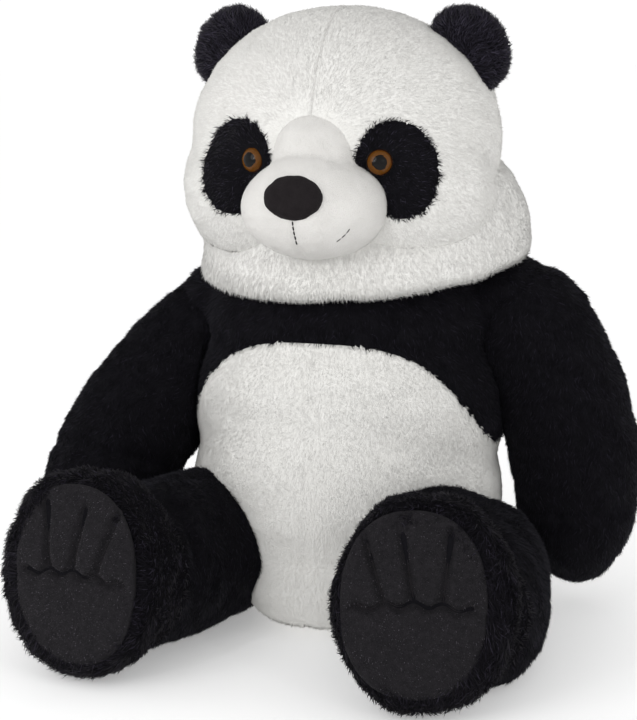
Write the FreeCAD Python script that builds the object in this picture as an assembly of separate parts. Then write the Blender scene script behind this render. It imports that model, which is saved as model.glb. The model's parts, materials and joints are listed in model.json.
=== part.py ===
import FreeCAD, Part

import json
import math
import os

from FreeCAD import Matrix, Placement, Rotation, Vector

# Seated plush panda, millimetres. +Z is up and the panda faces -Y, so its left side is +X.
# The model is laid out about the torso's middle line, with the floor at z = 0, and at the end
# every piece is moved so that the origin is the bottom centre of the whole toy's box.

FABRIC = 3.0                       # pile backing and its fur, as one shell
GAP = 1.6                          # clearance between pieces that move against each other
ORIGIN = Vector(0, 0, 0)
X_AXIS, Y_AXIS, Z_AXIS = Vector(1, 0, 0), Vector(0, 1, 0), Vector(0, 0, 1)
BIG = 2000.0
SIDES = {"left": 1.0, "right": -1.0}

# Torso: outline turned about the upright axis, each point (radius, height). It is then made a
# little shallower than it is wide, and sheared so that it leans back.
TORSO_SEAT = (146.0, -2.0)
TORSO_HIP = [(182.0, 36.0), (197.0, 110.0)]
TORSO_CHEST = [(196.0, 260.0), (184.0, 540.0)]
TORSO_DEPTH_RATIO = 0.98
TORSO_LEAN = 0.14
TORSO_MIDDLE_Y = -34.0
SEAT_HEIGHT = 26.0                 # seat panel turns up this far from the floor
BELLY_ARCH = (120.0, 230.0, 238.0)  # middle height, half width and half height of the belly's arch
PANEL_SPLIT_Y = 10.0               # side seam between front and back
BACK_PANEL_TOP = 292.0
BEAD_BAG = (Vector(0, 20, 48), (105.0, 95.0, 34.0))
LABEL_SIZE = (32.0, 36.0, 1.0)
LABEL_CORNER = (40.0, 122.0)

# Neck: a ring plane that leans forward, with the turn axis square to it.
RING_TILT = 9.5
RING_CENTRE = Vector(0, 12, 447)
NECK_HEIGHT = 44.0                 # from the ring plane to the underside of the head
NECK_FOOT = 210.0                  # half width on the ring plane
NECK_TOP = 160.0                   # half width under the head
NECK_DEPTH_RATIO = 0.89
NECK_CORE = 150.0                  # radius of the stuffed core at the ring plane
NOD_BALL = 92.0                    # stuffed ball that the head rocks on
NOD_LIMIT = 12.0

# Head.
HEAD_CENTRE = Vector(0, -12, 590)
HEAD_RADII = (196.0, 168.0, 171.0)
HEAD_BACK_Y = 12.0                 # seam between the face panels and the back of the head
MUZZLE_CENTRE = Vector(0, -168, 537)
MUZZLE_RADII = (84.0, 86.0, 72.0)
NOSE_CENTRE = Vector(0, -246, 546)
NOSE_RADII = (32.0, 15.0, 25.0)
MOUTH_ANGLES = (20, 52, 6)         # first, end and step of the mouth seam, in degrees down
PATCH_CENTRE = (102.0, 573.0)      # x and z on the panda's left
PATCH_RADII = (43.0, 60.0)
PATCH_LEAN = 24.0
EYE_CENTRE = Vector(78, -158, 581)
EYE_LOOK = Vector(0.3, -0.95, 0.06)
EYE_RADIUS = 15.0
EYE_STEM = (3.0, 26.0)
WASHER = (12.0, 2.5)
EAR_BASE = Vector(149, -16, 699)
EAR_ANGLE = 37.0                   # the ear's outward direction, above the horizontal
EAR_RADII = (55.0, 19.0, 56.0)     # along the seam, thickness, outward
EAR_ROLL = (15.0, 84.0)            # radius and length of the seam roll that folds in the head

# Arms: the shoulder ball, and the left arm's outline as (radius, distance down its axis).
SHOULDER = {"left": Vector(226, 22, 366), "right": Vector(-194, 16, 336)}
SHOULDER_BALL = 76.0
ARM_TOP = Vector(250, 24, 366)
ARM_TIP = Vector(292, 26, 43)
ARM_UPPER = [(50.0, 0.0), (84.0, 124.0), (73.0, 230.0)]
ARM_LENGTH = 325.0                 # from the top of the outline to the tip of the paw
ARM_INNER_X = 200.0                # flat inside of each arm, where it lies against the torso
ARM_SWING = {"left": 0.0, "right": 45.0}   # degrees forward that each arm is stored at
ARM_SWING_LEAN = 10.0                # the swing also takes the arm outward

# Legs: hip ball, leg and a drum-shaped foot with a flat sole.
HIP = Vector(140, -110, 93)
HIP_BALL = 92.0
ANKLE = Vector(186, -318, 105)
ANKLE_RADIUS = 90.0
HIP_SPREAD = 12.0
FOOT_CENTRE = Vector(197, -366, 121)
FOOT_TURN = 10.0                   # each foot points outward
FOOT_LEAN = 5.0                    # the sole leans back
FOOT_WIDTH_RATIO = 0.862
FOOT_BACK = (40.0, 58.0)            # (half height, distance behind the middle)
FOOT_ROUND = [(123.0, -8.0), (98.0, -58.0)]
PAD_RADII = (76.0, 92.0)
PAD_THICKNESS = 4.0
TOE_STITCH_X = (-30.0, 0.0, 30.0)
TOE_STITCH_Z = (14.0, 70.0)
STITCH_WIDTH = 1.6


def ellipsoid(centre, radii):
    """Closed ellipsoid with its axes along the model's axes."""
    scale = Matrix()
    scale.scale(*radii)
    return Part.makeSphere(1.0).transformGeometry(scale).translated(centre)


def placed(shape, placement):
    """Copy of a shape moved rigidly."""
    copy = shape.copy()
    copy.Placement = placement.multiply(copy.Placement)
    return copy


def half_space(point, normal):
    """Large box that fills the side of a plane that its normal points to."""
    block = Part.makeBox(BIG, BIG, BIG, Vector(-BIG / 2, -BIG / 2, 0))
    return placed(block, Placement(point, Rotation(Z_AXIS, normal)))


def turned_solid(start, arcs):
    """Solid turned about Z from an outline of (radius, height) points.

    Each arc is a (point on the way, end point) pair; the outline closes along the axis.
    """
    edges = [Part.makeLine(Vector(0, 0, start[1]), Vector(start[0], 0, start[1]))]
    here = start
    for way, there in arcs:
        points = [Vector(r, 0, h) for r, h in (here, way, there)]
        edges.append(Part.Arc(*points).toShape())
        here = there
    if here[0] > 0:
        edges.append(Part.makeLine(Vector(here[0], 0, here[1]), Vector(0, 0, here[1])))
    edges.append(Part.makeLine(Vector(0, 0, here[1]), Vector(0, 0, start[1])))
    return Part.Face(Part.Wire(edges)).revolve(ORIGIN, Z_AXIS, 360)


def round_end(here, tip):
    """Arc about a centre on the axis, from an outline's point to its tip on the axis."""
    radius = ((tip - here[1]) ** 2 + here[0] ** 2) / (2 * (tip - here[1]))
    centre = tip - radius
    half = math.atan2(here[0], here[1] - centre) / 2
    return (radius * math.sin(half), centre + radius * math.cos(half)), (0.0, tip)


def oval_prism(half_width, half_height, near, far, middle=ORIGIN, lean=0.0):
    """Upright oval extruded along the depth, from near to far."""
    scale = Matrix()
    scale.scale(half_width, half_height, 1.0)
    wire = Part.Wire(Part.makeCircle(1.0, ORIGIN, Z_AXIS)).transformGeometry(scale)
    upright = Rotation(Y_AXIS, lean).multiply(Rotation(X_AXIS, 90.0))
    wire = placed(wire, Placement(middle + Y_AXIS * near, upright))
    return Part.Face(wire).extrude(Y_AXIS * (far - near))


def above_floor(shape, height=0.0):
    return shape.common(half_space(Vector(0, 0, height), Z_AXIS))


def ball_and_cone(centre, radius, end_radius, run):
    """Half ball at a joint that widens or narrows into a cone along the run."""
    length = run.Length
    arc = Part.Arc(Vector(0, 0, -radius), Vector(radius * math.sqrt(0.5), 0, -radius * math.sqrt(0.5)),
                   Vector(radius, 0, 0))
    corners = [Vector(radius, 0, 0), Vector(end_radius, 0, length), Vector(0, 0, length)]
    edges = [arc.toShape()]
    edges += [Part.makeLine(p, q) for p, q in zip(corners[:-1], corners[1:])]
    edges.append(Part.makeLine(corners[-1], Vector(0, 0, -radius)))
    solid = Part.Face(Part.Wire(edges)).revolve(ORIGIN, Z_AXIS, 360)
    return placed(solid, Placement(centre, Rotation(Z_AXIS, run)))


def mirrored(shape):
    return shape.mirror(ORIGIN, X_AXIS)


def for_side(shape, side):
    return shape if side > 0 else mirrored(shape)


def turned(shape, centre, axis, degrees):
    """Copy of a shape turned about an axis through a point."""
    copy = shape.copy()
    copy.rotate(centre, axis, degrees)
    return copy


def side_point(point, side):
    return Vector(point.x * side, point.y, point.z)


RING_NORMAL = Rotation(X_AXIS, RING_TILT).multVec(Z_AXIS)
NOD_CENTRE = RING_CENTRE + RING_NORMAL * NECK_HEIGHT


def on_ring(shape):
    """Place a shape drawn about the origin, +Z up, on the neck's ring plane."""
    return placed(shape, Placement(RING_CENTRE, Rotation(X_AXIS, RING_TILT)))


def swing_axis(side):
    """Axis through a shoulder that a positive turn swings the arm forward about."""
    lean = math.radians(ARM_SWING_LEAN)
    return Vector(-math.cos(lean), -math.sin(lean) * side, 0)


def arm_solid(inset, shoulder):
    """Arm hanging straight down on the left, flat inside, with its ball at a given shoulder."""
    start, way, there = [(r - inset, h) for r, h in ARM_UPPER]
    arcs = [(way, there), round_end(there, ARM_LENGTH - inset)]
    arm = turned_solid(start, arcs)
    arm = placed(arm, Placement(ARM_TOP - SHOULDER["left"] + shoulder, Rotation(Z_AXIS, ARM_TIP - ARM_TOP)))
    flat = half_space(Vector(ARM_INNER_X + inset, 0, 0), X_AXIS)
    return arm.common(flat).fuse(Part.makeSphere(SHOULDER_BALL - inset, shoulder))


def make_arms(nodes):
    """Cover and stuffing of both arms, at their stored swing and pressed in by the leg beside."""
    for name, side in SIDES.items():
        on_left = side_point(SHOULDER[name], side)
        layers = []
        for inset in (0.0, FABRIC):
            arm = for_side(arm_solid(inset, on_left), side)
            arm = turned(arm, SHOULDER[name], swing_axis(side), ARM_SWING[name])
            layers.append(arm.cut([for_side(room, side) for room in leg_room(GAP + inset)]))
        nodes["arm_%s_cover" % name] = layers[0].cut(layers[1])
        nodes["arm_%s_filling" % name] = layers[1]


def foot_place():
    yaw = Rotation(Z_AXIS, FOOT_TURN)
    lean = Rotation(X_AXIS, -FOOT_LEAN)
    return Placement(FOOT_CENTRE, yaw.multiply(lean))


def foot_drum(inset):
    """Drum-shaped foot about the origin, its flat sole facing -Y."""
    back, (way, sole) = FOOT_BACK, FOOT_ROUND
    start = (back[0] - inset, back[1] - inset)
    end = (sole[0] - inset, sole[1] + inset)
    drum = turned_solid(end, [((way[0] - inset, way[1]), start)])
    scale = Matrix()
    scale.scale(FOOT_WIDTH_RATIO, 1.0, 1.0)
    return placed(drum, Placement(ORIGIN, Rotation(X_AXIS, -90.0))).transformGeometry(scale)


def leg_room(clearance):
    """Space that the left leg and foot take, grown by a clearance."""
    leg = ball_and_cone(HIP, HIP_BALL + clearance, ANKLE_RADIUS + clearance, ANKLE - HIP)
    return [leg, placed(foot_drum(-clearance), foot_place())]


def toe_stitching():
    """Seams between the toes and the one under them, as thread on the sole pad."""
    front = FOOT_ROUND[-1][1] - PAD_THICKNESS - STITCH_WIDTH
    low, high = TOE_STITCH_Z
    half = PAD_RADII[0] * 0.82
    cross = Part.makeBox(2 * half, STITCH_WIDTH, STITCH_WIDTH, Vector(-half, front, low))
    lines = [Part.makeBox(STITCH_WIDTH, STITCH_WIDTH, high - low, Vector(x, front, low))
             for x in TOE_STITCH_X]
    return cross.multiFuse(lines)


def make_legs(nodes):
    """Leg tube, foot bag, stuffing, sole pad and toe stitching of both legs."""
    place = foot_place()
    run = ANKLE - HIP
    leg = [above_floor(ball_and_cone(HIP, HIP_BALL - t, ANKLE_RADIUS - t, run), t) for t in (0.0, FABRIC)]
    foot = [above_floor(placed(foot_drum(t), place), t) for t in (0.0, FABRIC)]
    inner = leg[1].fuse(foot[1])
    shell = leg[0].fuse(foot[0]).cut(inner)
    beyond = half_space(ANKLE, run)
    sole = FOOT_ROUND[-1][1]
    pieces = {
        "leg_%s_cover": shell.cut(beyond),
        "foot_%s_cover": shell.common(beyond),
        "leg_%s_filling": inner,
        "sole_%s_pad": placed(oval_prism(*PAD_RADII, sole - PAD_THICKNESS, sole), place),
        "toe_%s_stitching": placed(toe_stitching(), place),
    }
    for name, side in SIDES.items():
        for pattern, shape in pieces.items():
            nodes[pattern % name] = for_side(shape, side)


def torso_solid(inset):
    """Pear-shaped torso with a flat seat, cut off on the neck's ring plane."""
    seat, hips, chest = [[(r - inset, h) for r, h in row]
                         for row in ([TORSO_SEAT], TORSO_HIP, TORSO_CHEST)]
    shape = Matrix()
    shape.A22 = TORSO_DEPTH_RATIO
    shape.A23 = TORSO_LEAN
    shape.A24 = TORSO_MIDDLE_Y
    pear = turned_solid(seat[0], [tuple(hips), tuple(chest)]).transformGeometry(shape)
    return above_floor(pear.cut(half_space(RING_CENTRE, RING_NORMAL)), inset)


def joint_room():
    """Sockets in the torso for both shoulder balls and both legs over their travel."""
    rooms = []
    reach = 210.0
    spread = math.tan(math.radians(HIP_SPREAD + 1.0))
    for name, side in SIDES.items():
        rooms.append(Part.makeSphere(SHOULDER_BALL + GAP, SHOULDER[name]))
        hip = side_point(HIP, side)
        along = (side_point(ANKLE, side) - hip).normalize() * reach
        radius = HIP_BALL + GAP
        rooms.append(ball_and_cone(hip, radius, radius + reach * spread, along))
    return rooms


def make_torso(nodes):
    """Four fabric panels, the stuffing, the bead bag in the seat and a blank care label."""
    room = joint_room()
    outer, inner = torso_solid(0.0), torso_solid(FABRIC)
    shell = outer.cut(room + [inner])
    seat_zone = half_space(Vector(0, 0, SEAT_HEIGHT), -Z_AXIS)
    back_zone = half_space(Vector(0, PANEL_SPLIT_Y, 0), Y_AXIS).cut(
        half_space(Vector(0, 0, BACK_PANEL_TOP), Z_AXIS))
    middle, half_width, half_height = BELLY_ARCH
    belly_zone = oval_prism(half_width, half_height, -BIG / 4, PANEL_SPLIT_Y, Z_AXIS * middle)
    upper = shell.cut(seat_zone)
    nodes["seat_panel"] = shell.common(seat_zone)
    nodes["belly_panel"] = upper.common(belly_zone)
    nodes["back_panel"] = upper.common(back_zone)
    nodes["yoke_panel"] = upper.cut([belly_zone, back_zone])
    bag = ellipsoid(*BEAD_BAG)
    nodes["bead_bag"] = bag
    nodes["torso_filling"] = inner.cut(room + [bag])
    label = Part.makeBox(*LABEL_SIZE, Vector(*LABEL_CORNER, SEAT_HEIGHT + LABEL_SIZE[2]))
    nodes["care_label"] = label.cut(outer)


def make_neck(nodes):
    """Stuffed neck that turns on the torso, with the fabric ruff round it."""
    wedge = math.tan(math.radians(NOD_LIMIT + 1.0))
    rim = NECK_HEIGHT - NECK_CORE * wedge - GAP
    shoulder = NECK_HEIGHT - NOD_BALL * wedge - GAP
    points = [(0.0, GAP), (NECK_CORE, GAP), (NECK_CORE, rim), (NOD_BALL, shoulder), (0.0, shoulder)]
    outline = Part.makePolygon([Vector(r, 0, h) for r, h in points + points[:1]])
    core = Part.Face(outline).revolve(ORIGIN, Z_AXIS, 360)
    ball = Part.makeSphere(NOD_BALL, Vector(0, 0, NECK_HEIGHT))
    ball = above_floor(ball, GAP)
    core = core.fuse(ball)
    ruff = [(GAP, NECK_FOOT), (NECK_HEIGHT - GAP, NECK_TOP)]
    scale = Matrix()
    scale.scale(1.0, NECK_DEPTH_RATIO, 1.0)
    solids = []
    for inset in (0.0, FABRIC):
        low, high = [(a - inset, h) for h, a in ruff]
        cone = Part.makeCone(low[0], high[0], high[1] - low[1], Vector(0, 0, low[1]))
        solids.append(cone.transformGeometry(scale))
    nodes["neck_filling"] = on_ring(core)
    nodes["neck_cover"] = on_ring(solids[0].cut(solids[1]))


def ear_frame(side):
    """Base point, seam direction and outward direction of an ear."""
    angle = math.radians(EAR_ANGLE)
    outward = Vector(math.cos(angle) * side, 0, math.sin(angle))
    seam = Vector(math.sin(angle), 0, -math.cos(angle) * side)
    return side_point(EAR_BASE, side), seam, outward


def ear_solid(inset):
    """Left ear: a flattened half disc on a roll along its seam."""
    base, seam, outward = ear_frame(1.0)
    roll_r, roll_l = EAR_ROLL
    disc = ellipsoid(ORIGIN, [r - inset for r in EAR_RADII])
    disc = above_floor(disc, roll_r * 0.4)
    turn = Rotation(Y_AXIS, 90.0 - EAR_ANGLE)
    disc = placed(disc, Placement(base, turn))
    start = base - seam * (roll_l / 2 - inset)
    roll = Part.makeCylinder(roll_r - inset, roll_l - 2 * inset, start, seam)
    return disc.fuse(roll)


def ear_groove(side):
    base, seam, _ = ear_frame(side)
    roll_r, roll_l = EAR_ROLL
    start = base - seam * (roll_l * 0.75)
    return Part.makeCylinder(roll_r + GAP, roll_l * 1.5, start, seam)


def make_ears(nodes):
    outer, inner = ear_solid(0.0), ear_solid(FABRIC)
    for name, side in SIDES.items():
        nodes["ear_%s_cover" % name] = for_side(outer.cut(inner), side)
        nodes["ear_%s_filling" % name] = for_side(inner, side)


def patch_prism(side):
    """Leaning oval that cuts the eye patch out of the face."""
    x, z = PATCH_CENTRE
    prism = oval_prism(*PATCH_RADII, -BIG / 4, -40, Vector(x, 0, z), -PATCH_LEAN)
    return for_side(prism, side)


def eye_parts(side):
    """Glossy eye with its stem, and the washer that locks it behind the fabric."""
    centre = side_point(EYE_CENTRE, side)
    look = side_point(EYE_LOOK, side).normalize()
    stem_r, stem_l = EYE_STEM
    washer_r, washer_t = WASHER
    stem = Part.makeCylinder(stem_r, stem_l, centre - look * stem_l, look)
    dome = Part.makeSphere(EYE_RADIUS, centre - look * (EYE_RADIUS * 0.35))
    disc_at = centre - look * (EYE_RADIUS * 1.35 + washer_t)
    disc = Part.makeCylinder(washer_r, washer_t, disc_at, look)
    return dome.fuse(stem), disc.cut(stem)


def mouth_thread(muzzle):
    """Upright line of stitches from under the nose to the chin."""
    centre, (_, depth, height) = MUZZLE_CENTRE, MUZZLE_RADII
    front, back = [], []
    for angle in range(*MOUTH_ANGLES):
        drop = Vector(0, -math.cos(math.radians(angle)), -math.sin(math.radians(angle)))
        for row, extra in ((front, STITCH_WIDTH), (back, -STITCH_WIDTH)):
            row.append(centre + Vector(0, drop.y * (depth + extra), drop.z * (height + extra)))
    outline = Part.makePolygon(front + back[::-1] + front[:1])
    strip = Part.Face(outline).extrude(X_AXIS * STITCH_WIDTH)
    return strip.translated(X_AXIS * (-STITCH_WIDTH / 2)).cut(muzzle)


def make_head(nodes):
    """Face and back panels, patches, eyes, muzzle, nose and mouth round one stuffing."""
    outer = ellipsoid(HEAD_CENTRE, HEAD_RADII)
    inner = ellipsoid(HEAD_CENTRE, [r - FABRIC for r in HEAD_RADII])
    underside = half_space(NOD_CENTRE, -RING_NORMAL)
    seat = Part.makeSphere(NOD_BALL + GAP, NOD_CENTRE)
    room = [underside, seat] + [ear_groove(side) for side in SIDES.values()]
    back = half_space(Vector(0, HEAD_BACK_Y, 0), Y_AXIS)
    muzzle_outer = ellipsoid(MUZZLE_CENTRE, MUZZLE_RADII)
    muzzle_inner = ellipsoid(MUZZLE_CENTRE, [r - FABRIC for r in MUZZLE_RADII])
    skin = outer.cut([inner] + room)
    front = skin.cut([back, muzzle_outer])
    nodes["head_back_panel"] = skin.common(back)
    hardware = []
    for name, side in SIDES.items():
        half = front.common(half_space(ORIGIN, X_AXIS * side))
        patch = patch_prism(side)
        eye, washer = eye_parts(side)
        hardware += [eye, washer]
        nodes["face_panel_%s" % name] = half.cut([patch, eye])
        nodes["eye_patch_%s" % name] = half.common(patch).cut(eye)
        nodes["eye_%s" % name] = eye
        nodes["eye_washer_%s" % name] = washer
    nodes["head_filling"] = inner.cut(room + hardware)
    nodes["muzzle_cover"] = muzzle_outer.cut([muzzle_inner, inner, underside])
    nodes["muzzle_filling"] = muzzle_inner.cut([inner, underside])
    nodes["nose"] = ellipsoid(NOSE_CENTRE, NOSE_RADII).cut(muzzle_outer)
    nodes["mouth_stitching"] = mouth_thread(muzzle_outer).cut(nodes["nose"])


def joint_points(shift):
    """Hinge points and axes after the move to the final origin."""
    table = {
        "neck_turn": (RING_CENTRE, RING_NORMAL),
        "neck_nod": (NOD_CENTRE, X_AXIS),
    }
    for name, side in SIDES.items():
        table["ear_%s_fold" % name] = ear_frame(side)[:2]
        table["arm_%s_raise" % name] = (SHOULDER[name], -Y_AXIS * side)
        table["leg_%s_spread" % name] = (side_point(HIP, side), Z_AXIS * side)
    return {key: [list(point + shift), list(axis)] for key, (point, axis) in table.items()}


def solid_of(shape):
    """The shape's solids alone, without slivers that a cut left behind."""
    solids = [s for s in shape.Solids if s.Volume > 1.0]
    return solids[0] if len(solids) == 1 else Part.makeCompound(solids)


def main():
    nodes = {}
    make_torso(nodes)
    make_neck(nodes)
    make_head(nodes)
    make_ears(nodes)
    make_arms(nodes)
    make_legs(nodes)
    nodes = {name: solid_of(shape) for name, shape in nodes.items()}
    box = Part.makeCompound(list(nodes.values())).optimalBoundingBox(True, False)
    shift = Vector(-(box.XMin + box.XMax) / 2, -(box.YMin + box.YMax) / 2, -box.ZMin)
    os.makedirs("parts", exist_ok=True)
    for name, shape in nodes.items():
        moved = shape.translated(shift)
        moved.exportStep("parts/%s.step" % name)
        print("%-24s solids %d valid %s volume %.1f cm3" % (
            name, len(moved.Solids), moved.isValid(), moved.Volume / 1000))
    print("SHIFT", json.dumps(list(shift)))
    print("SIZE", box.XLength, box.YLength, box.ZLength)
    print("JOINTS", json.dumps(joint_points(shift)))


main()
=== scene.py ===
import json
import math

import bmesh
import bpy
import numpy as np
from mathutils import Matrix, Vector


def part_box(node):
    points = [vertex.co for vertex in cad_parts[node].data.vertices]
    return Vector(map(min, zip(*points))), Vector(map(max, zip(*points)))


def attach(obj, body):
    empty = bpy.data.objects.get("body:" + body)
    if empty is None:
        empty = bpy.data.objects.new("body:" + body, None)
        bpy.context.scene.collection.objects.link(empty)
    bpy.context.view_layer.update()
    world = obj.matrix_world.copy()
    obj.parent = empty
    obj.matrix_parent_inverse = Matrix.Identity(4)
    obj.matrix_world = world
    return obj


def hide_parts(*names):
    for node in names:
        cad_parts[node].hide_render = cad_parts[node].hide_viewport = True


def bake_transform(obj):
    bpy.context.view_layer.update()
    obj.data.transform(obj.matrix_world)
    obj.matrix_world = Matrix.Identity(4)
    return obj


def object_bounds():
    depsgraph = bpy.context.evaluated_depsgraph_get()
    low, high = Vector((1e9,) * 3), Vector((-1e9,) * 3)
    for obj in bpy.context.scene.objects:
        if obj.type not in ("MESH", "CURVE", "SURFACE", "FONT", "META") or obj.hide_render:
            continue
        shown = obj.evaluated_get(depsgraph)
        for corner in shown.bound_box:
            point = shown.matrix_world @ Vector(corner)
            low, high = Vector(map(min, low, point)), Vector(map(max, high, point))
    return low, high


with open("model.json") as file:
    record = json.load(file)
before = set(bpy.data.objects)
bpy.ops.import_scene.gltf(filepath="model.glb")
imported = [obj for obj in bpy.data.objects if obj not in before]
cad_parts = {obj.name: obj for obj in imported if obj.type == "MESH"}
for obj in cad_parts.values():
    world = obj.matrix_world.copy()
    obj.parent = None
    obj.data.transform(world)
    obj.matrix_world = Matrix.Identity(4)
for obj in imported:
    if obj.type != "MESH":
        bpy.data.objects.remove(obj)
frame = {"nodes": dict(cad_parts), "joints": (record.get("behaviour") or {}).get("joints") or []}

CAD_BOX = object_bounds()
MM = 0.001
SIDES = {"left": 1.0, "right": -1.0}
JOINTS = {j["name"]: j for j in frame["joints"]}

# Shapes are written in millimetres from the toy's middle line on the floor, facing -Y.
# The neck's turn axis crosses the ring plane 12 mm behind that line.
NECK = np.array(JOINTS["neck_turn"]["pos_m"])
NECK_AXIS = np.array(JOINTS["neck_turn"]["axis"])
MIDDLE = np.array([NECK[0], NECK[1] - 12 * MM, 0.0])
UP = np.array([0.0, 0.0, 1.0])


def at(point):
    """Frame position of a point given in millimetres from the middle line."""
    return MIDDLE + np.asarray(point, float) * MM


def joint_point(name):
    return np.array(JOINTS[name]["pos_m"])


def local(co):
    """Millimetres from the middle line, of positions in the frame."""
    return (co - MIDDLE) / MM


def unit(v):
    return v / np.maximum(np.linalg.norm(v, axis=-1, keepdims=True), 1e-12)


def smooth_step(x, low, high):
    t = np.clip((x - low) / (high - low), 0, 1)
    return t * t * (3 - 2 * t)


def waves(co, size, seed, count=14):
    """Smooth noise from -1 to 1 with features of about the given size, in metres."""
    rng = np.random.default_rng(seed)
    total = np.zeros(len(co))
    for _ in range(count):
        direction = unit(rng.normal(size=3))
        total += np.cos(co @ direction * (2 * math.pi / (size * rng.uniform(0.7, 1.5)))
                        + rng.uniform(0, 2 * math.pi))
    return total / math.sqrt(count * 0.5) * 0.5


# -------- meshes

def get_co(obj):
    co = np.empty(len(obj.data.vertices) * 3)
    obj.data.vertices.foreach_get("co", co)
    return co.reshape(-1, 3)


def set_co(obj, co):
    obj.data.vertices.foreach_set("co", np.asarray(co, float).ravel())
    obj.data.update()


def normals_of(obj):
    data = np.empty(len(obj.data.vertices) * 3)
    obj.data.vertex_normals.foreach_get("vector", data)
    return data.reshape(-1, 3)


def link(name, data):
    obj = bpy.data.objects.new(name, data)
    bpy.context.scene.collection.objects.link(obj)
    return obj


def shade_smooth(obj):
    obj.data.polygons.foreach_set("use_smooth", np.ones(len(obj.data.polygons), bool))
    return obj


def link_bmesh(name, bm):
    mesh = bpy.data.meshes.new(name)
    bm.to_mesh(mesh)
    bm.free()
    return link(name, mesh)


def link_faces(name, points, faces):
    mesh = bpy.data.meshes.new(name)
    mesh.from_pydata([tuple(p) for p in points], [], faces)
    return link(name, mesh)


def apply_modifiers(obj):
    depsgraph = bpy.context.evaluated_depsgraph_get()
    mesh = bpy.data.meshes.new_from_object(obj.evaluated_get(depsgraph))
    obj.modifiers.clear()
    obj.data = mesh
    return shade_smooth(obj)


def blob(name, balls, voxel=5.0, rounds=12):
    """One closed skin round balls: (centre, radii) or (centre, radii, turn about X, Y, Z)."""
    bm = bmesh.new()
    for centre, radii, *turn in balls:
        euler = Matrix.Identity(4)
        for axis, angle in zip("XYZ", turn[0] if turn else ()):
            euler = Matrix.Rotation(math.radians(angle), 4, axis) @ euler
        place = Matrix.Translation(Vector(at(centre))) @ euler @ Matrix.Diagonal(
            Vector([r * MM for r in radii] + [1.0]))
        bmesh.ops.create_icosphere(bm, subdivisions=4, radius=1.0, matrix=place)
    obj = link_bmesh(name, bm)
    remesh = obj.modifiers.new("remesh", "REMESH")
    remesh.mode = "VOXEL"
    remesh.voxel_size = voxel * MM
    relax = obj.modifiers.new("relax", "SMOOTH")
    relax.factor = 0.5
    relax.iterations = rounds
    return apply_modifiers(obj)


def chain(points, count=9):
    """Balls along a smooth run through (x, y, z, radius) points."""
    points = np.asarray(points, float)
    out = []
    for a, b in zip(points[:-1], points[1:]):
        for t in np.linspace(0, 1, count, endpoint=False):
            p = a + (b - a) * t
            out.append((p[:3], (p[3],) * 3))
    out.append((points[-1][:3], (points[-1][3],) * 3))
    return out


def panel(name, source, inside, thick=2.5):
    """The part of a skin where inside() is above zero, cut on that line, as thin closed cloth."""
    bm = bmesh.new()
    bm.from_mesh(source.data)
    bm.verts.ensure_lookup_table()
    value = inside(local(np.array([v.co for v in bm.verts])))
    moved = set()
    for edge in bm.edges:
        a, b = edge.verts[0].index, edge.verts[1].index
        if value[a] * value[b] < 0:
            near, far = (a, b) if abs(value[a]) < abs(value[b]) else (b, a)
            if near in moved:
                continue
            t = value[near] / (value[near] - value[far])
            v = bm.verts[near]
            v.co = v.co.lerp(bm.verts[far].co, t)
            moved.add(near)
    value[list(moved)] = 0.0
    gone = [f for f in bm.faces if sum(value[v.index] for v in f.verts) <= 0]
    bmesh.ops.delete(bm, geom=gone, context="FACES")
    obj = link_bmesh(name, bm)
    cloth = obj.modifiers.new("cloth", "SOLIDIFY")
    cloth.thickness = thick * MM
    cloth.offset = -1.0
    return apply_modifiers(obj)


def push_along_normals(obj, amount):
    """Move each vertex along its normal by an amount in millimetres."""
    set_co(obj, get_co(obj) + normals_of(obj) * (np.asarray(amount) * MM)[:, None])


def groove(distance, depth, width):
    """Depth of a soft sewn groove at a distance from its line, as a negative push."""
    return -depth * np.exp(-(distance / width) ** 2)


# -------- materials

def node_material(name):
    material = bpy.data.materials.new(name)
    material.use_nodes = True
    nodes, links = material.node_tree.nodes, material.node_tree.links
    return material, nodes, links, nodes["Principled BSDF"]


def noise_texture(nodes, scale, **inputs):
    noise = nodes.new("ShaderNodeTexNoise")
    noise.inputs["Scale"].default_value = scale
    for name, value in inputs.items():
        noise.inputs[name].default_value = value
    return noise


def colour_ramp(nodes, low, high, ends=(0.0, 1.0)):
    """Ramp from one colour to another between two positions."""
    ramp = nodes.new("ShaderNodeValToRGB")
    for element, position, colour in zip(ramp.color_ramp.elements, ends, (low, high)):
        element.position = position
        element.color = (*colour, 1)
    return ramp


def set_sheen(shader, weight, tint, roughness=0.5):
    shader.inputs["Sheen Weight"].default_value = weight
    shader.inputs["Sheen Roughness"].default_value = roughness
    shader.inputs["Sheen Tint"].default_value = (*tint, 1)


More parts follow.
